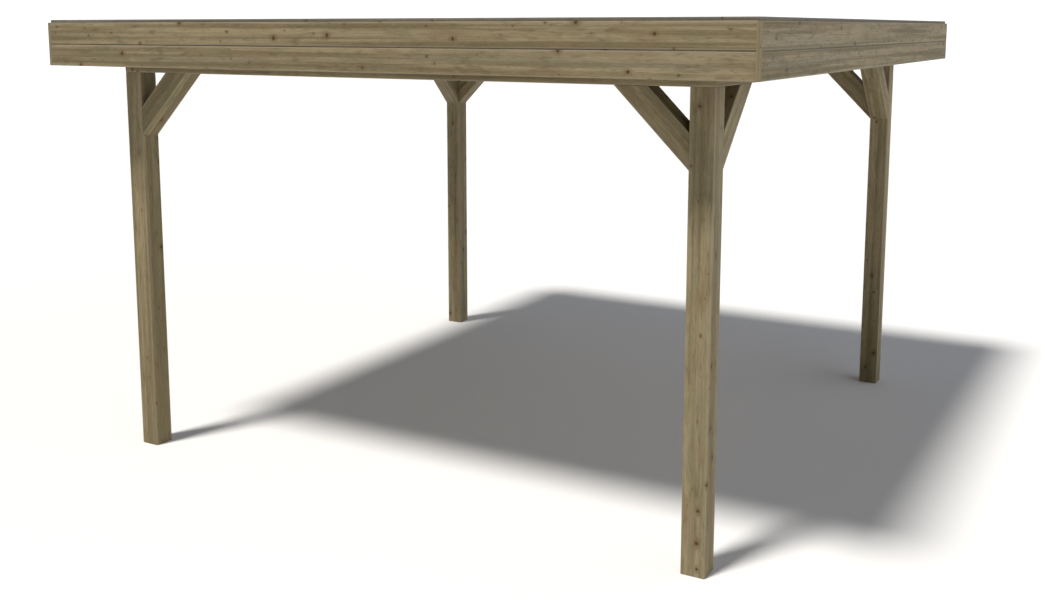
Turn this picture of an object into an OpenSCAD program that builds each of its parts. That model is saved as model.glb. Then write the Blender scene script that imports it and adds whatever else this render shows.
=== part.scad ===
// Garden pavilion: an open timber frame of four braced posts under a flat roof.
// X runs left to right along the front, Y runs front to back, Z is up.
// The origin is on the ground, at the centre of the plan.

/* [Roof outline] */
// Width of the roof over its fascia boards
roof_w = 4240; // [2800:10:6000]
// Depth of the roof over its fascia boards
roof_d = 4140; // [2800:10:6000]
// Distance that the roof reaches past the outer faces of the posts
overhang = 292; // [200:1:500]

/* [Frame] */
// Side of the square posts, beams and braces
post_section = 120; // [90:1:150]
// Height of the posts, from the ground to the underside of the beams
post_h = 2272; // [1900:1:2800]
// Height of the beams that lie on the posts
beam_h = 120; // [90:1:220]
// Length of a brace's lower edge, measured along the post
brace_leg = 372; // [300:1:700]

/* [Roof structure] */
// Thickness of a rafter
rafter_t = 45; // [30:1:75]
// Height of a rafter
rafter_h = 145; // [95:1:220]
// Thickness of the rim boards that close the rafter ends
rim_t = 45; // [20:1:60]
// Height of the rim boards
rim_h = 195; // [150:1:260]
// Thickness of the roof boards
deck_t = 20; // [16:1:30]
// Thickness of the rubber membrane on the roof boards
membrane_t = 2; // [1:0.5:5]

/* [Fascia] */
// Thickness of the fascia boards
fascia_t = 20; // [16:1:30]
// Height of one fascia board
fascia_board_h = 120; // [90:1:180]
// Open joint between the upper and the lower fascia board
fascia_joint = 5; // [2:1:12]

/* [Edge trim] */
// Thickness of the trim that holds the membrane down along the roof edge
trim_t = 16; // [10:1:30]
// Width of that trim
trim_w = 60; // [40:1:100]
// Distance from the face of the fascia to the outer edge of the trim
trim_inset = 12; // [2:1:14]

/* [Hidden] */

// Plan of the frame, over the outer faces of the posts
frame_w = roof_w - 2 * overhang;
frame_d = roof_d - 2 * overhang;

// Plan of the roof structure, inside the fascia boards
deck_w = roof_w - 2 * fascia_t;
deck_d = roof_d - 2 * fascia_t;

// Heights, each layer lying on the one below
rafter_z = post_h + beam_h;
deck_z = rafter_z + rafter_h;
membrane_z = deck_z + deck_t;
trim_z = membrane_z + membrane_t;

// The fascia hangs from the underside of the edge trim
fascia_upper_z = trim_z - fascia_board_h;
fascia_lower_z = fascia_upper_z - fascia_joint - fascia_board_h;

// The outer rafters lie centred over the side beams, the others evenly between them.
// Each of them has its own name in NODES.
rafter_count = 7;
rafter_pitch = (frame_w - post_section) / (rafter_count - 1);

// A brace stands at 45 degrees, so its section measures this much along post and beam
brace_seat = post_section * sqrt(2);

// Where a side lies: a half turn swaps front and back, a quarter turn swaps front and left
FRONT = 0;
RIGHT = 90;
BACK = 180;
LEFT = 270;

// Places a child that is drawn for the front at the given side of a plan.
module on_side(side) {
    rotate([0, 0, side]) children();
}

// Length of the plan's side, and depth from the plan's centre to that side
function side_length(side, w, d) = (side == FRONT || side == BACK) ? w : d;
function side_reach(side, w, d) = (side == FRONT || side == BACK) ? d / 2 : w / 2;

// One post: x_dir and y_dir are -1 or 1 and choose the corner.
module post(x_dir, y_dir) {
    color("#8b8062")
    translate([x_dir * (frame_w - post_section) / 2, y_dir * (frame_d - post_section) / 2, post_h / 2])
        cube([post_section, post_section, post_h], center = true);
}

// One beam of the ring on the post tops, mitred at both ends so that each post carries two.
module beam(side) {
    length = side_length(side, frame_w, frame_d);
    color("#7d7255")
    on_side(side)
    translate([0, -side_reach(side, frame_w, frame_d), post_h])
        mitred_bar(length, post_section, beam_h);
}

// A bar along X with its outer face at y = 0 and both ends cut at 45 degrees.
module mitred_bar(length, width, height) {
    linear_extrude(height)
        polygon([
            [-length / 2, 0],
            [length / 2, 0],
            [length / 2 - width, width],
            [width - length / 2, width]
        ]);
}

// One knee brace in the plane of a side's frame; end is -1 or 1 and chooses the post.
module brace(side, end) {
    length = side_length(side, frame_w, frame_d);
    color("#857a5c")
    on_side(side)
    translate([0, -side_reach(side, frame_w, frame_d), post_h])
    mirror([end > 0 ? 1 : 0, 0, 0])
    translate([post_section - length / 2, post_section, 0])
    rotate([90, 0, 0])
        linear_extrude(post_section)
            polygon([
                [0, -brace_leg],
                [brace_leg, 0],
                [brace_leg - brace_seat, 0],
                [0, brace_seat - brace_leg]
            ]);
}

// One rafter, from the front rim board to the back one, counted from the left.
module rafter(number) {
    length = deck_d - 2 * rim_t;
    middle = (rafter_count + 1) / 2;
    color("#8f8468")
    translate([(number - middle) * rafter_pitch, 0, rafter_z + rafter_h / 2])
        cube([rafter_t, length, rafter_h], center = true);
}

// One rim board under the edge of the roof boards. The front and back ones run through,
// and the side ones stand between them.
module rim(side) {
    through = side == FRONT || side == BACK;
    length = through ? deck_w : deck_d - 2 * rim_t;
    color("#6f6549")
    on_side(side)
    translate([-length / 2, -side_reach(side, deck_w, deck_d), deck_z - rim_h])
        cube([length, rim_t, rim_h]);
}

// The roof boards, as one flat deck over rafters and rim.
module roof_deck() {
    color("#a0946f")
    translate([-deck_w / 2, -deck_d / 2, deck_z])
        cube([deck_w, deck_d, deck_t]);
}

// The rubber sheet that covers the roof boards.
module roof_membrane() {
    color("#3a3b3c")
    translate([-deck_w / 2, -deck_d / 2, membrane_z])
        cube([deck_w, deck_d, membrane_t]);
}

// One fascia board, between the corner strips at both ends of its side.
module fascia(side, bottom_z) {
    length = side_length(side, roof_w, roof_d) - 2 * fascia_t;
    color("#877a5c")
    on_side(side)
    translate([-length / 2, -side_reach(side, roof_w, roof_d), bottom_z])
        cube([length, fascia_t, fascia_board_h]);
}

// The square strip that closes the corner between two sides' fascia boards.
module corner_strip(x_dir, y_dir) {
    height = trim_z - fascia_lower_z;
    color("#968a6c")
    translate([x_dir * (roof_w - fascia_t) / 2, y_dir * (roof_d - fascia_t) / 2,
               fascia_lower_z + height / 2])
        cube([fascia_t, fascia_t, height], center = true);
}

// The flat trim on top of the fascia and the edge of the membrane, mitred at the corners.
module edge_trim(side) {
    length = side_length(side, roof_w, roof_d) - 2 * trim_inset;
    color("#6e665a")
    on_side(side)
    translate([0, trim_inset - side_reach(side, roof_w, roof_d), trim_z])
        mitred_bar(length, trim_w, trim_t);
}

post(-1, -1);  // post_front_left
post(1, -1);  // post_front_right
post(-1, 1);  // post_back_left
post(1, 1);  // post_back_right

beam(FRONT);  // beam_front
beam(BACK);  // beam_back
beam(LEFT);  // beam_left
beam(RIGHT);  // beam_right

brace(FRONT, -1);  // brace_front_left
brace(FRONT, 1);  // brace_front_right
brace(BACK, 1);  // brace_back_left
brace(BACK, -1);  // brace_back_right
brace(LEFT, 1);  // brace_left_front
brace(LEFT, -1);  // brace_left_back
brace(RIGHT, -1);  // brace_right_front
brace(RIGHT, 1);  // brace_right_back

rafter(1);  // rafter_1
rafter(2);  // rafter_2
rafter(3);  // rafter_3
rafter(4);  // rafter_4
rafter(5);  // rafter_5
rafter(6);  // rafter_6
rafter(7);  // rafter_7

rim(FRONT);  // rim_front
rim(BACK);  // rim_back
rim(LEFT);  // rim_left
rim(RIGHT);  // rim_right

roof_deck();
roof_membrane();

fascia(FRONT, fascia_upper_z);  // fascia_front_upper
fascia(FRONT, fascia_lower_z);  // fascia_front_lower
fascia(BACK, fascia_upper_z);  // fascia_back_upper
fascia(BACK, fascia_lower_z);  // fascia_back_lower
fascia(LEFT, fascia_upper_z);  // fascia_left_upper
fascia(LEFT, fascia_lower_z);  // fascia_left_lower
fascia(RIGHT, fascia_upper_z);  // fascia_right_upper
fascia(RIGHT, fascia_lower_z);  // fascia_right_lower

corner_strip(-1, -1);  // corner_strip_front_left
corner_strip(1, -1);  // corner_strip_front_right
corner_strip(-1, 1);  // corner_strip_back_left
corner_strip(1, 1);  // corner_strip_back_right

edge_trim(FRONT);  // edge_trim_front
edge_trim(BACK);  // edge_trim_back
edge_trim(LEFT);  // edge_trim_left
edge_trim(RIGHT);  // edge_trim_right
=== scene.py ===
import math
import random

import bmesh
import bpy
from mathutils import Matrix, Vector


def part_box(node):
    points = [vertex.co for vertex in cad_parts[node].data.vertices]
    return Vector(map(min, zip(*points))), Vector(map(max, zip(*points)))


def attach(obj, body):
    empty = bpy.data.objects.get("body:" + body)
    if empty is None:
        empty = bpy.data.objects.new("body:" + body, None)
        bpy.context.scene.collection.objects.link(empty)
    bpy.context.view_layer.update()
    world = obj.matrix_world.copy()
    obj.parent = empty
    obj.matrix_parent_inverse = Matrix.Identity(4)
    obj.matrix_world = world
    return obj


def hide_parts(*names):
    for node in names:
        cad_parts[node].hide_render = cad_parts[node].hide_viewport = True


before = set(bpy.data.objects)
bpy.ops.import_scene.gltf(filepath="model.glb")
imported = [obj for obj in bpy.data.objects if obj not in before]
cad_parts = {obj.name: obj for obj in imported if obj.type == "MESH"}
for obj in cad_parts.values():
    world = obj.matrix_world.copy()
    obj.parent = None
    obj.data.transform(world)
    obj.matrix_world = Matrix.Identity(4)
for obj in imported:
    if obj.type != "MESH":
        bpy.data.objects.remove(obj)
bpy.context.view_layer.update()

# ---------------------------------------------------------------------------
# Camera. A 40 mm lens at the height of the roof edge, in front and to the right.
# It looks down a little, and a small downward shift of the lens keeps the posts
# nearly upright.
EYE = (3.594, -6.598, 2.530)
TURN = math.radians(29.56)
TILT = math.radians(8.17)
camera = bpy.data.cameras.new("camera")
camera.sensor_width = 36
camera.lens = 39.97
camera.shift_y = -0.105
camera_object = bpy.data.objects.new("camera", camera)
camera_object.location = EYE
camera_object.rotation_euler = (math.pi / 2 - TILT, 0, TURN)
bpy.context.scene.collection.objects.link(camera_object)
bpy.context.scene.camera = camera_object


# ---------------------------------------------------------------------------
# Studio. A white floor, and a soft high lamp from the front left that throws the roof's
# shadow back and to the right. The pale surround is brightest low on the right.
class Shade:
    """A socket of a node tree. Arithmetic on it adds the Math nodes."""

    def __init__(self, tree, socket):
        self.tree = tree
        self.socket = socket

    def add(self, kind, settings, sockets, output=0):
        """Any other node: its type, its settings, then its sockets' values or links."""
        node = self.tree.nodes.new(kind)
        for name, value in settings.items():
            setattr(node, name, value)
        for name, value in sockets.items():
            if isinstance(value, Shade):
                self.tree.links.new(value.socket, node.inputs[name])
            else:
                node.inputs[name].default_value = value
        return Shade(self.tree, node.outputs[output])

    def math(self, operation, *numbers):
        return self.add("ShaderNodeMath", {"operation": operation}, dict(enumerate(numbers)))

    def put_through(self, operation):
        """This value put through a Math operation that takes one number."""
        return self.math(operation, self)

    def __add__(self, other):
        return self.math("ADD", self, other)

    def __sub__(self, other):
        return self.math("SUBTRACT", self, other)

    def __rsub__(self, other):
        return self.math("SUBTRACT", other, self)

    def __mul__(self, other):
        return self.math("MULTIPLY", self, other)

    def __truediv__(self, other):
        return self.math("DIVIDE", self, other)

    def __neg__(self):
        return self.math("MULTIPLY", self, -1.0)

    __radd__ = __add__
    __rmul__ = __mul__

    def clamp(self):
        return self.add("ShaderNodeClamp", {}, {"Value": self})

    def rise(self, low, high):
        """0 below low, 1 above high, and a smooth rise between them."""
        settings = {"interpolation_type": "SMOOTHSTEP"}
        sockets = {"Value": self, "From Min": low, "From Max": high}
        return self.add("ShaderNodeMapRange", settings, sockets)

    def mixed(self, colour, share):
        """This colour mixed with another one."""
        sockets = {0: share, 6: self, 7: colour}
        return self.add("ShaderNodeMix", {"data_type": "RGBA"}, sockets, output=2)

    def scaled(self, factors):
        """This vector with its parts multiplied one by one."""
        return self.add("ShaderNodeVectorMath", {"operation": "MULTIPLY"}, {0: self, 1: factors})

    def parts(self):
        nodes = self.add("ShaderNodeSeparateXYZ", {}, {"Vector": self}).socket.node
        return [Shade(self.tree, socket) for socket in nodes.outputs]


FLOOR_RADIUS = 60.0
FLOOR_SIDES = 96
FLOOR_COLOUR = (0.85, 0.852, 0.868, 1)
BACKDROP = 1.2
LAMP_DIRECTION = Vector((0.184, 0.454, -1.0))
LAMP_SPREAD = math.radians(10.5)
LAMP_STRENGTH = 3.6
LAMP_COLOUR = (1.0, 0.965, 0.90)
SURROUND_COLOUR = (0.96, 1.0, 1.06, 1.0)
HORIZON = 0.54
ZENITH = 0.14
RIGHT_GLOW = 0.9
FRONT_DIMMING = 0.5


def studio_floor():
    floor = bmesh.new()
    bmesh.ops.create_circle(floor, cap_ends=True, segments=FLOOR_SIDES, radius=FLOOR_RADIUS)
    mesh = bpy.data.meshes.new("studio_floor")
    floor.to_mesh(mesh)
    floor.free()
    material = bpy.data.materials.new("white_floor")
    material.use_nodes = True
    surface = material.node_tree.nodes["Principled BSDF"]
    surface.inputs["Base Color"].default_value = FLOOR_COLOUR
    surface.inputs["Roughness"].default_value = 0.9
    surface.inputs["Specular IOR Level"].default_value = 0.1
    mesh.materials.append(material)
    piece = bpy.data.objects.new("studio_floor", mesh)
    bpy.context.scene.collection.objects.link(piece)


def studio_light():
    lamp = bpy.data.lights.new("key_lamp", "SUN")
    lamp.energy = LAMP_STRENGTH
    lamp.color = LAMP_COLOUR
    lamp.angle = LAMP_SPREAD
    lamp_object = bpy.data.objects.new("key_lamp", lamp)
    lamp_object.rotation_euler = LAMP_DIRECTION.to_track_quat("-Z", "Y").to_euler()
    bpy.context.scene.collection.objects.link(lamp_object)

    world = bpy.data.worlds.new("surround")
    bpy.context.scene.world = world
    world.use_nodes = True
    tree = world.node_tree
    background = tree.nodes["Background"]
    root = Shade(tree, None)
    direction = root.add("ShaderNodeTexCoord", {}, {}, output="Generated")
    right, back, up = direction.parts()
    low = 1 - up.rise(0.45, 0.9)
    light = HORIZON + (ZENITH - HORIZON) * up.rise(0.0, 0.75)
    light = light + RIGHT_GLOW * right.rise(0.2, 1.0) * low
    light = light - FRONT_DIMMING * (-back).rise(0.2, 1.0) * low
    seen = root.add("ShaderNodeLightPath", {}, {}, output="Is Camera Ray")
    strength = light * (1 - seen) + BACKDROP * seen
    tree.links.new(strength.socket, background.inputs["Strength"])
    background.inputs["Color"].default_value = SURROUND_COLOUR


studio_floor()
studio_light()
bpy.context.scene.view_settings.view_transform = "Standard"


# ---------------------------------------------------------------------------
# Posts. Four square posts of planed, pressure-treated pine, sawn square at both ends.
# Their arrises are eased, and each was cut with the heart of the tree inside it.
draw = random.Random(442)
LOG_SPACING = 7.0
LOG_PLACES = 90
FADE = 0.007
END_EASING = 0.0015
CHECK_WIDTH = 0.0022
CHECK_DEPTH = 0.012
CLOSED_WIDTH = 0.0003
CLOSED_DEPTH = 0.0001
CHECK_START = (0.05, 0.45)
CHECK_SHARE = (0.30, 0.50)
CHECK_ASIDE = 0.015
CHECK_WANDER = 0.0022
CHECK_TREMBLE = 0.0008
KNOT_MARGIN = 0.3


def bar_section(width, height, easing, checked, steps=3):
    """The outline of a planed bar as (y, z, edge, groove): edge is 1 on the eased arrises and
    0 on the flats between them. The checked flats have a drying check: for its lips and its
    bottom, groove is the way along the flat, the way in and the part of the check."""
    outline = []
    for quarter, (side_y, side_z) in enumerate(((1, 1), (-1, 1), (-1, -1), (1, -1))):
        middle_y = side_y * (width / 2 - easing)
        middle_z = side_z * (height / 2 - easing)
        start = quarter * math.pi / 2
        arc = []
        for step in range(steps + 1):
            angle = start + step / steps * math.pi / 2
            place_y = middle_y + easing * math.cos(angle)
            place_z = middle_z + easing * math.sin(angle)
            arc.append((place_y, place_z, 1.0, None))
        before = Vector((math.sin(start), -math.cos(start))) * min(FADE, width / 4, height / 4)
        after = Vector((-math.cos(start), -math.sin(start))) * min(FADE, width / 4, height / 4)
        first = (arc[0][0] + before.x, arc[0][1] + before.y, 0.0, None)
        last = (arc[-1][0] + after.x, arc[-1][1] + after.y, 0.0, None)
        outline += [first, *arc, last]
        if quarter in checked:
            inward = Vector((math.sin(start), -math.cos(start)))
            onward = Vector((-math.cos(start), -math.sin(start)))
            flat = -inward * (height if quarter % 2 == 0 else width) / 2
            outline += [(*flat, 0.0, (onward, inward, part)) for part in (-1, 0, 1)]
    return outline


def drying_check(length):
    """A check of the given bar as a function of the place along it: where its middle lies
    across the flat, and how far it has opened, from 0 to 1."""
    first = draw.uniform(*CHECK_START) * length
    last = first + draw.uniform(*CHECK_SHARE) * length
    offset = draw.uniform(-CHECK_ASIDE, CHECK_ASIDE)
    phase = draw.uniform(0, math.tau)

    def at(place):
        share = min(max((place - first) / (last - first), 0.0), 1.0)
        wander = CHECK_WANDER * math.sin(7 * place + phase)
        wander += CHECK_TREMBLE * math.sin(31 * place)
        return offset + wander, math.sin(math.pi * share) ** 0.7

    return at


def timber(node, centre, along, across, length, width, height, easing, heart,
           cuts=((0, 0), (0, 0)), stations=2, slot="frame_timber", suffix="timber", checked=()):
    """A planed bar. Its grain runs along, its width lies across, and heart is where the
    middle of the tree lies in its section. Each cut is how far the end leans with y and z,
    and checked names the flats that have a drying check."""
    outline = bar_section(width, height, easing, checked)
    check = drying_check(length)
    mesh = bpy.data.meshes.new(f"{node}_{suffix}")
    shape = bmesh.new()
    edge_layer = shape.verts.layers.float.new("edge")
    grain_layer = shape.verts.layers.float_vector.new("grain")
    cut_layer = shape.faces.layers.float.new("end_cut")
    start = LOG_SPACING * draw.randrange(1, LOG_PLACES)
    end_ease = min(easing, END_EASING)
    ring_places = [(0.0, end_ease), (end_ease, 0.0)]
    ring_places += [(length * step / stations, 0.0) for step in range(1, stations)]
    ring_places += [(length - end_ease, 0.0), (length, end_ease)]
    rings = []
    for place, drawn_in in ring_places:
        ring = []
        share = place / length
        check_middle, opening = check(place)
        for y, z, edge, groove in outline:
            if groove:
                onward, inward, part = groove
                aside = check_middle + part * (CLOSED_WIDTH + CHECK_WIDTH * opening) / 2
                depth = (1 - abs(part)) * (CLOSED_DEPTH + CHECK_DEPTH * opening)
                y += aside * onward.x + depth * inward.x
                z += aside * onward.y + depth * inward.y
            y_in = y * (1 - 2 * drawn_in / width)
            z_in = z * (1 - 2 * drawn_in / height)
            lean = (1 - share) * (cuts[0][0] * y + cuts[0][1] * z)
            lean += share * (cuts[1][0] * y + cuts[1][1] * z)
            x = place - length / 2 + lean
            vertex = shape.verts.new((x, y_in, z_in))
            vertex[edge_layer] = 1.0 if drawn_in else edge
            vertex[grain_layer] = (x + start, y - heart[0], z - heart[1])
            ring.append(vertex)
        rings.append(ring)
    for ring, following in zip(rings, rings[1:]):
        for index, vertex in enumerate(ring):
            nearby = (index + 1) % len(ring)
            face = shape.faces.new((vertex, ring[nearby], following[nearby], following[index]))
            face.smooth = True
            if outline[index][3]:
                shape.edges.get((vertex, following[index])).smooth = False
    for ring in (rings[0][::-1], rings[-1]):
        middle = shape.verts.new(sum((vertex.co for vertex in ring), Vector()) / len(ring))
        middle[grain_layer] = sum((vertex[grain_layer] for vertex in ring), Vector()) / len(ring)
        for vertex, following in zip(ring, ring[1:] + ring[:1]):
            end_grain = shape.faces.new((vertex, following, middle))
            end_grain[cut_layer] = 1.0
    bmesh.ops.recalc_face_normals(shape, faces=shape.faces)
    along = Vector(along).normalized()
    across = Vector(across).normalized()
    frame_matrix = Matrix((along, across, along.cross(across))).transposed().to_4x4()
    shape.transform(Matrix.Translation(centre) @ frame_matrix)
    shape.to_mesh(mesh)
    shape.free()
    piece = bpy.data.objects.new(f"{node}_{suffix}", mesh)
    bpy.context.scene.collection.objects.link(piece)
    sharpen = piece.modifiers.new("planed_faces", "WEIGHTED_NORMAL")
    sharpen.keep_sharp = True
    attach(piece, "root")
    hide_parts(node)
    return piece


def knots(x, y, z, spacing, radius, spread, seed):
    """How far inside a knot a point is, as (core, halo). Each spacing along the grain holds
    one branch, which leaves the heart in a direction of its own within the spread."""
    cell = (x / spacing).put_through("FLOOR")
    chance = cell.add("ShaderNodeTexWhiteNoise", {"noise_dimensions": "1D"}, {"W": cell + seed},
                      output="Color")
    place, turn, size = chance.parts()
    angle = (turn - 0.5) * spread
    sine = angle.put_through("SINE")
    cosine = angle.put_through("COSINE")
    off_x = x - (cell + KNOT_MARGIN + (1 - 2 * KNOT_MARGIN) * place) * spacing
    off_side = y * sine - z * cosine
    outward = (y * cosine + z * sine).rise(0.0, 0.004)
    reach = radius * (0.35 + 0.9 * size)
    near = (off_x * off_x + off_side * off_side).put_through("SQRT")
    core = (1 - (near / reach).rise(0.65, 1.15)) * outward
    stretched = (off_x * off_x * 0.3 + off_side * off_side).put_through("SQRT")
    halo = (1 - (stretched / reach).rise(0.6, 2.4)) * outward
    return core, halo


def pine(name, pale, deep, brown, green, weathered, knot_radius=0.0085, knot_spread=math.tau,
         knot_spacing=0.135, ring=0.0034, streak_width=0.045):
    """Planed pine as a solid pattern: growth rings round the heart, streaks, fibres, knots
    and paler, worn arrises."""
    material = bpy.data.materials.new(name)
    material.use_nodes = True
    tree = material.node_tree
    surface = tree.nodes["Principled BSDF"]
    root = Shade(tree, None)

    def colour(value):
        return (*value, 1.0)

    def named(attribute, output):
        settings = {"attribute_name": attribute, "attribute_type": "GEOMETRY"}
        return root.add("ShaderNodeAttribute", settings, {}, output=output)

    def noise(vector, scale, detail=2.0, output="Fac"):
        sockets = {"Vector": vector.scaled(scale), "Scale": 1.0, "Detail": detail}
        return root.add("ShaderNodeTexNoise", {}, sockets, output=output)

    grain = named("grain", "Vector")
    edge = named("edge", "Fac")
    end_cut = named("end_cut", "Fac")

    # The grain wanders a little round the heart.
    sway = noise(grain, (0.9, 5.0, 5.0), output="Color")
    x, y, z = grain.parts()
    sway_x, sway_y, sway_z = sway.parts()
    y_bent = y + (sway_y - 0.5) * 0.018
    z_bent = z + (sway_z - 0.5) * 0.018

    core, halo = knots(x, y_bent, z_bent, knot_spacing, knot_radius, knot_spread, 3.0)
    pin_core, pin_halo = knots(x, y_bent, z_bent, 0.62 * knot_spacing, 0.5 * knot_radius,
                               knot_spread, 71.0)

    # Growth rings, each with a darker late part, which bulge round the knots.
    radius = (y_bent * y_bent + z_bent * z_bent).put_through("SQRT")
    radius = radius + halo * 0.004 + pin_halo * 0.0015
    turn = (radius / ring).put_through("FRACT")
    late = turn.rise(0.35, 0.9) * (1 - turn.rise(0.92, 1.0))

    # Streaks along the grain, from broad bands to single fibres.
    cross = 1 / streak_width
    streaks = noise(grain, (0.5, cross, cross), 3.0).rise(0.40, 0.60)
    bands = noise(grain, (0.25, 0.8 * cross, 0.8 * cross), 1.0)
    lines = noise(grain, (2.2, 4.5 * cross, 4.5 * cross), 3.0)
    patches = noise(grain, (3.2, 15.0, 15.0), 2.0)
    blotches = noise(grain, (10.0, 45.0, 45.0), 3.0)
    flecks = noise(grain, (26.0, 240.0, 240.0), 2.0)
    fibres = noise(grain, (14.0, 700.0, 700.0), 2.0)

    body = root.add("ShaderNodeMix", {"data_type": "RGBA"},
                    {0: streaks, 6: colour(deep), 7: colour(pale)}, output=2)
    body = body.mixed(colour(weathered), bands.rise(0.50, 0.66) * 0.55)
    body = body.mixed(colour(brown), patches.rise(0.5, 0.70) * 0.65)
    body = body.mixed(colour(green), (1 - patches.rise(0.30, 0.48)) * 0.60)
    body = body.mixed(colour(deep), (1 - lines.rise(0.3, 0.6)) * 0.40)
    body = body.mixed(colour(pale), lines.rise(0.55, 0.75) * 0.40)
    ring_tone = colour([0.55 * part for part in deep])
    body = body.mixed(ring_tone, late * 0.24 + (fibres - 0.5) * 0.18)
    body = body.mixed(ring_tone, blotches.rise(0.54, 0.72) * 0.42)
    body = body.mixed(ring_tone, (1 - flecks.rise(0.28, 0.46)) * 0.40)
    body = body.mixed(colour(weathered), flecks.rise(0.56, 0.74) * 0.32)
    body = body.mixed(colour(weathered), edge * 0.45)
    body = body.mixed(ring_tone, end_cut * 0.45)
    knot_rim = colour([0.76 * deep[0], 0.46 * deep[1], 0.27 * deep[2]])
    knot_core = colour([0.30 * deep[0], 0.17 * deep[1], 0.10 * deep[2]])
    body = body.mixed(knot_rim, (halo * 0.50 + pin_halo * 0.35).clamp())
    body = body.mixed(knot_core, core * 0.85)
    body = body.mixed(knot_rim, pin_core * 0.80)
    tree.links.new(body.socket, surface.inputs["Base Color"])

    roughness = 0.66 + 0.14 * fibres - 0.12 * core + 0.08 * end_cut
    tree.links.new(roughness.socket, surface.inputs["Roughness"])
    surface.inputs["Specular IOR Level"].default_value = 0.3

    relief = fibres * 0.5 - late * 0.35 + core * 0.4 + lines * 0.3
    bump = root.add("ShaderNodeBump", {}, {"Strength": 0.5, "Distance": 0.0008, "Height": relief},
                    output="Normal")
    tree.links.new(bump.socket, surface.inputs["Normal"])
    return material


FRAME_PINE = pine(
    "frame_pine",
    pale=(0.309, 0.249, 0.140),
    deep=(0.176, 0.139, 0.068),
    brown=(0.215, 0.149, 0.080),
    green=(0.175, 0.151, 0.078),
    weathered=(0.296, 0.254, 0.165),
)
POST_EASING = 0.004
POST_STATIONS = 60
HEART_SPREAD = 0.025


def middle_and_size(node):
    low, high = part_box(node)
    return (low + high) / 2, high - low


def heart_within(spread):
    return draw.uniform(-spread, spread), draw.uniform(-spread, spread)


def post(node):
    centre, size = middle_and_size(node)
    piece = timber(node, centre, (0, 0, 1), (1, 0, 0), size.z, size.x, size.y, POST_EASING,
                   heart_within(HEART_SPREAD), stations=POST_STATIONS, checked=(0, 1))
    piece.data.materials.append(FRAME_PINE)


for row in ("front", "back"):
    for side in ("left", "right"):
        post(f"post_{row}_{side}")


# ---------------------------------------------------------------------------
# Beams. A ring of four square beams that lies on the post tops, of the same planed pine
# as the posts. The ends are mitred, so that each post carries two beams.
BEAM_EASING = 0.004
BEAM_STATIONS = 80


def ring_axes(side):
    """The way along a side and the way out of it."""
    outward = {"front": (0, -1, 0), "back": (0, 1, 0), "left": (-1, 0, 0), "right": (1, 0, 0)}
    out = Vector(outward[side])
    return out.cross(Vector((0, 0, 1))), out


def mitred_bar(node, side, easing, heart, **settings):
    """A bar of a ring, with both ends cut at 45 degrees."""
    centre, size = middle_and_size(node)
    along, out = ring_axes(side)
    length = abs(size.dot(along))
    width = abs(size.dot(out))
    return timber(node, centre, along, out, length - width, width, size.z, easing,
                  heart, cuts=((-1, 0), (1, 0)), **settings)


for side in ("front", "back", "left", "right"):
    beam = mitred_bar(f"beam_{side}", side, BEAM_EASING, heart_within(HEART_SPREAD),
                      stations=BEAM_STATIONS, checked=(1,))
    beam.data.materials.append(FRAME_PINE)


# ---------------------------------------------------------------------------
# Knee braces. Eight short struts of the same section as the posts, one in each frame at
# each post. They stand at 45 degrees and are cut to fit the post and the beam.
BRACE_EASING = 0.004
BRACE_HEART_SPREAD = 0.03
BRACE_STATIONS = 3


def brace(side, end, corner_post):
    """The brace in one side of the frame, between its beam and the post at one end."""
    node = f"brace_{side}_{end}"
    centre, size = middle_and_size(node)
    along_side, out = ring_axes(side)
    section = abs(size.dot(out))
    leg = size.z
    seat = section * math.sqrt(2)
    post_middle, _ = middle_and_size(corner_post)
    away = along_side if (centre - post_middle).dot(along_side) > 0 else -along_side
    corner = centre - away * leg / 2
    corner.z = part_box(node)[1].z
    foot = corner + Vector((0, 0, seat / 2 - leg))
    head = corner + away * (leg - seat / 2)
    along = (head - foot).normalized()
    inward = (Vector((0, 0, 1)) - away).normalized()
    piece = timber(node, (foot + head) / 2, along, inward, (head - foot).length, section, section,
                   BRACE_EASING, heart_within(BRACE_HEART_SPREAD), cuts=((1, 0), (-1, 0)),
                   stations=BRACE_STATIONS)
    piece.data.materials.append(FRAME_PINE)


for row in ("front", "back"):
    for end in ("left", "right"):
        brace(row, end, f"post_{row}_{end}")

for side in ("left", "right"):
    for end in ("front", "back"):
        brace(side, end, f"post_{end}_{side}")


# ---------------------------------------------------------------------------
# Rafters and rim. Planed 45 mm joists on edge across the front and back beams, closed all
# round by deeper rim boards that the fascia is fixed to.
ROOF_PINE = pine(
    "roof_pine",
    pale=(0.265, 0.216, 0.128),
    deep=(0.168, 0.131, 0.069),
    brown=(0.203, 0.142, 0.079),
    green=(0.168, 0.146, 0.079),
    weathered=(0.281, 0.239, 0.165),
)
JOIST_EASING = 0.003
JOIST_STATIONS = 8
HEART_BESIDE = (0.02, 0.05)
HEART_RISE = 0.03


def heart_beside(width):
    """A heart outside the section, as in a board sawn from the side of a log."""
    beside = draw.choice((-1, 1)) * (width / 2 + draw.uniform(*HEART_BESIDE))
    return beside, draw.uniform(-HEART_RISE, HEART_RISE)


for number in range(1, 8):
    node = f"rafter_{number}"
    centre, size = middle_and_size(node)
    rafter = timber(node, centre, (0, 1, 0), (-1, 0, 0), size.y, size.x, size.z, JOIST_EASING,
                    heart_beside(size.x), stations=JOIST_STATIONS, slot="roof_timber")
    rafter.data.materials.append(ROOF_PINE)

for side in ("front", "back", "left", "right"):
    node = f"rim_{side}"
    centre, size = middle_and_size(node)
    along, out = ring_axes(side)
    rim = timber(node, centre, along, out, abs(size.dot(along)), abs(size.dot(out)), size.z,
                 JOIST_EASING, heart_beside(abs(size.dot(out))), stations=JOIST_STATIONS,
                 slot="roof_timber")
    rim.data.materials.append(ROOF_PINE)


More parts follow.
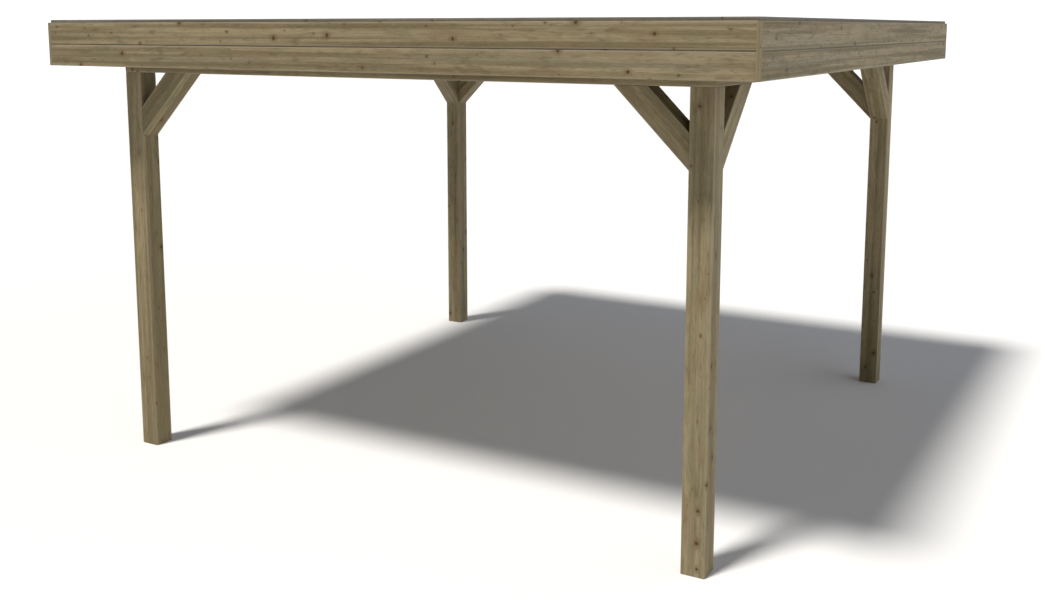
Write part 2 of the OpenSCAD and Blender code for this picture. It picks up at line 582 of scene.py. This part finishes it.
# ---------------------------------------------------------------------------
# Roof boards. Tongued and grooved pine boards laid across the rafters, with a small
# V-joint between them on the underside.
BOARD_PINE = pine(
    "board_pine",
    pale=(0.374, 0.293, 0.170),
    deep=(0.255, 0.191, 0.100),
    brown=(0.289, 0.200, 0.108),
    green=(0.255, 0.212, 0.116),
    weathered=(0.357, 0.297, 0.199),
)
BOARD_COVER = 0.137
BOARD_HEART_ASIDE = 0.04
BOARD_HEART_BELOW = (0.03, 0.08)
V_JOINT = 0.0035
JOINT_GAP = 0.0004


def roof_boards():
    node = "roof_deck"
    low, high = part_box(node)
    count = round((high.y - low.y) / BOARD_COVER)
    cover = (high.y - low.y) / count
    mesh = bpy.data.meshes.new("roof_boards")
    shape = bmesh.new()
    edge_layer = shape.verts.layers.float.new("edge")
    grain_layer = shape.verts.layers.float_vector.new("grain")
    shape.faces.layers.float.new("end_cut")
    for index in range(count):
        front = low.y + index * cover + JOINT_GAP / 2
        back = front + cover - JOINT_GAP
        start = LOG_SPACING * draw.randrange(1, LOG_PLACES)
        heart_aside = draw.uniform(-BOARD_HEART_ASIDE, BOARD_HEART_ASIDE)
        heart_below = draw.uniform(*BOARD_HEART_BELOW)
        outline = [
            (front, low.z + V_JOINT, 1.0),
            (front + V_JOINT, low.z, 1.0),
            (front + V_JOINT + FADE, low.z, 0.0),
            (back - V_JOINT - FADE, low.z, 0.0),
            (back - V_JOINT, low.z, 1.0),
            (back, low.z + V_JOINT, 1.0),
            (back, high.z, 0.0),
            (front, high.z, 0.0),
        ]
        rings = []
        for x in (low.x, high.x):
            ring = []
            for y, z, edge in outline:
                vertex = shape.verts.new((x, y, z))
                vertex[edge_layer] = edge
                across = y - (front + back) / 2
                vertex[grain_layer] = (x + start, across - heart_aside, z - low.z + heart_below)
                ring.append(vertex)
            rings.append(ring)
        for place in range(len(outline)):
            following = (place + 1) % len(outline)
            shape.faces.new((rings[0][place], rings[0][following],
                             rings[1][following], rings[1][place]))
        shape.faces.new(rings[0][::-1])
        shape.faces.new(rings[1])
    bmesh.ops.recalc_face_normals(shape, faces=shape.faces)
    shape.to_mesh(mesh)
    shape.free()
    mesh.materials.append(BOARD_PINE)
    piece = bpy.data.objects.new("roof_boards", mesh)
    bpy.context.scene.collection.objects.link(piece)
    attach(piece, "root")
    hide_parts(node)


roof_boards()


# ---------------------------------------------------------------------------
# Membrane. One sheet of black rubber glued over the roof boards, held down along the edge
# by the trim. It came folded, so it has faint creases and lies a little uneven. Dust has
# settled along the trim.
RIPPLE = 0.0007
CREASE_HEIGHT = 0.0018
CREASE_WIDTH = 0.016
CREASE_SPACING = 1.37
SHEET_CELLS = 230
FLAT_BORDER = 0.07
RISE_WIDTH = 1 / 6
CLEAN_RUBBER = (0.033, 0.034, 0.036, 1)
FADED_RUBBER = (0.046, 0.046, 0.046, 1)
DUST = (0.105, 0.100, 0.088, 1)
DRIED_SPOTS = (0.080, 0.078, 0.072, 1)
RUBBED_CREASE = (0.075, 0.075, 0.074, 1)
GRIT = (0.095, 0.092, 0.086, 1)


def rubber():
    material = bpy.data.materials.new("roof_rubber")
    material.use_nodes = True
    tree = material.node_tree
    surface = tree.nodes["Principled BSDF"]
    root = Shade(tree, None)
    place = root.add("ShaderNodeTexCoord", {}, {}, output="Object")
    crease = root.add("ShaderNodeAttribute", {"attribute_name": "crease"}, {}, output="Fac")
    border = root.add("ShaderNodeAttribute", {"attribute_name": "border"}, {}, output="Fac")
    cloud = root.add("ShaderNodeTexNoise", {}, {"Vector": place, "Scale": 0.8, "Detail": 3.0})
    spots = root.add("ShaderNodeTexNoise", {}, {"Vector": place, "Scale": 11.0, "Detail": 5.0})
    grit = root.add("ShaderNodeTexNoise", {}, {"Vector": place, "Scale": 420.0, "Detail": 2.0})
    black = root.add("ShaderNodeMix", {"data_type": "RGBA"},
                     {0: cloud.rise(0.30, 0.75), 6: CLEAN_RUBBER, 7: FADED_RUBBER}, output=2)
    drift = (1 - border.rise(0.0, 0.22)) * spots.rise(0.30, 0.62)
    black = black.mixed(DUST, drift * 0.62)
    black = black.mixed(DRIED_SPOTS, spots.rise(0.54, 0.70) * 0.38)
    black = black.mixed(RUBBED_CREASE, crease * spots.rise(0.38, 0.60) * 0.34)
    black = black.mixed(GRIT, grit.rise(0.55, 0.8) * 0.35)
    tree.links.new(black.socket, surface.inputs["Base Color"])
    roughness = 0.55 + 0.12 * cloud + 0.20 * drift + 0.08 * grit
    tree.links.new(roughness.socket, surface.inputs["Roughness"])
    bump = root.add("ShaderNodeBump", {}, {"Strength": 0.4, "Distance": 0.0006,
                                           "Height": grit + 2.0 * cloud}, output="Normal")
    tree.links.new(bump.socket, surface.inputs["Normal"])
    return material


def nearest_crease(place):
    """How much of a crease is at a place across the sheet, from 0 to 1."""
    off = (place / CREASE_SPACING + 0.5) % 1 - 0.5
    return math.exp(-(off * CREASE_SPACING / CREASE_WIDTH) ** 2)


def membrane():
    low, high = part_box("roof_membrane")
    mesh = bpy.data.meshes.new("rubber_sheet")
    shape = bmesh.new()
    crease_layer = shape.verts.layers.float.new("crease")
    border_layer = shape.verts.layers.float.new("border")
    tops = []
    for row in range(SHEET_CELLS + 1):
        line = []
        for column in range(SHEET_CELLS + 1):
            x = low.x + (high.x - low.x) * column / SHEET_CELLS
            y = low.y + (high.y - low.y) * row / SHEET_CELLS
            border = min(x - low.x, high.x - x, y - low.y, high.y - y)
            rise = min(max((border - FLAT_BORDER) / RISE_WIDTH, 0.0), 1.0)
            sway = 0.010 * math.sin(2.1 * y + 0.6)
            lift = 0.010 * math.sin(1.7 * x + 1.9)
            crease = max(nearest_crease(x + sway), nearest_crease(y + lift))
            ripple = math.sin(5.1 * x + 1.7 * math.sin(2.3 * y)) * math.sin(3.7 * y + 1.1 * x)
            height = RIPPLE * (1 + ripple) + CREASE_HEIGHT * crease
            vertex = shape.verts.new((x, y, high.z + rise * height))
            vertex[crease_layer] = crease * rise
            vertex[border_layer] = border
            line.append(vertex)
        tops.append(line)
    for row in range(SHEET_CELLS):
        for column in range(SHEET_CELLS):
            face = shape.faces.new((tops[row][column], tops[row][column + 1],
                                    tops[row + 1][column + 1], tops[row + 1][column]))
            face.smooth = True
    outer_edges = [edge for edge in shape.edges if edge.is_boundary]
    skirt = bmesh.ops.extrude_edge_only(shape, edges=outer_edges)["geom"]
    lower = [vertex for vertex in skirt if isinstance(vertex, bmesh.types.BMVert)]
    for vertex in lower:
        vertex.co.z = low.z
    lower_edges = [edge for edge in shape.edges if edge.is_boundary]
    bmesh.ops.contextual_create(shape, geom=lower_edges)
    bmesh.ops.recalc_face_normals(shape, faces=shape.faces)
    shape.to_mesh(mesh)
    shape.free()
    mesh.materials.append(rubber())
    piece = bpy.data.objects.new("rubber_sheet", mesh)
    bpy.context.scene.collection.objects.link(piece)
    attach(piece, "root")
    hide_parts("roof_membrane")


membrane()


# ---------------------------------------------------------------------------
# Fascia. Two planed pine boards on each side, one above the other with a narrow joint,
# fixed to the rim from inside. The lower board has a tongue along its top edge that closes
# the joint from behind.
FASCIA_PINE = pine(
    "fascia_pine",
    pale=(0.297, 0.240, 0.140),
    deep=(0.153, 0.121, 0.061),
    brown=(0.208, 0.145, 0.080),
    green=(0.172, 0.150, 0.080),
    weathered=(0.300, 0.262, 0.188),
    knot_radius=0.0085,
    knot_spread=2.2,
    knot_spacing=0.34,
    ring=0.0030,
    streak_width=0.030,
)
FASCIA_EASING = 0.003
FASCIA_STATIONS = 10
FASCIA_HEART_BEHIND = (0.04, 0.07)
TONGUE_DEPTH = 0.0145
TONGUE_EASING = 0.0008
TONGUE_PLAY = 0.0004
TONGUE_HEART = (-0.05, 0.0)


def fascia_tongue(side):
    node = f"fascia_{side}_lower"
    centre, size = middle_and_size(node)
    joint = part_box(f"fascia_{side}_upper")[0].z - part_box(node)[1].z
    along, out = ring_axes(side)
    middle = centre - out * (abs(size.dot(out)) - TONGUE_DEPTH) / 2
    middle.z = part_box(node)[1].z + (joint - TONGUE_PLAY) / 2
    tongue = timber(node, middle, along, out, abs(size.dot(along)), TONGUE_DEPTH,
                    joint - TONGUE_PLAY, TONGUE_EASING, TONGUE_HEART, slot="fascia_timber",
                    suffix="tongue")
    tongue.data.materials.append(FASCIA_PINE)


for side in ("front", "back", "left", "right"):
    for level in ("upper", "lower"):
        node = f"fascia_{side}_{level}"
        centre, size = middle_and_size(node)
        along, out = ring_axes(side)
        heart = (-draw.uniform(*FASCIA_HEART_BEHIND), draw.uniform(-HEART_RISE, HEART_RISE))
        board = timber(node, centre, along, out, abs(size.dot(along)), abs(size.dot(out)), size.z,
                       FASCIA_EASING, heart, stations=FASCIA_STATIONS, slot="fascia_timber")
        board.data.materials.append(FASCIA_PINE)
    fascia_tongue(side)


# ---------------------------------------------------------------------------
# Corner strips. Square pine strips that stand in the corners of the fascia and cover the
# ends of its boards.
CORNER_PINE = pine(
    "corner_pine",
    pale=(0.262, 0.215, 0.122),
    deep=(0.190, 0.153, 0.078),
    brown=(0.216, 0.162, 0.088),
    green=(0.190, 0.162, 0.086),
    weathered=(0.270, 0.230, 0.145),
    knot_radius=0.002,
    streak_width=0.012,
)
STRIP_EASING = 0.002
STRIP_HEART = (0.03, 0.02)

for row in ("front", "back"):
    for side in ("left", "right"):
        node = f"corner_strip_{row}_{side}"
        centre, size = middle_and_size(node)
        strip = timber(node, centre, (0, 0, 1), (1, 0, 0), size.z, size.x, size.y, STRIP_EASING,
                       STRIP_HEART, slot="corner_timber")
        strip.data.materials.append(CORNER_PINE)


# ---------------------------------------------------------------------------
# Edge trim. A flat pine trim on top of the fascia that clamps the rubber along the roof
# edge. It lies open to the weather and has gone grey.
TRIM_PINE = pine(
    "trim_pine",
    pale=(0.235, 0.205, 0.155),
    deep=(0.135, 0.115, 0.082),
    brown=(0.180, 0.145, 0.100),
    green=(0.150, 0.138, 0.098),
    weathered=(0.250, 0.230, 0.190),
    knot_radius=0.006,
    streak_width=0.030,
)
TRIM_EASING = 0.0025
TRIM_HEART = (0.0, -0.05)
TRIM_STATIONS = 8

for side in ("front", "back", "left", "right"):
    trim = mitred_bar(f"edge_trim_{side}", side, TRIM_EASING, TRIM_HEART,
                      stations=TRIM_STATIONS, slot="trim_timber")
    trim.data.materials.append(TRIM_PINE)
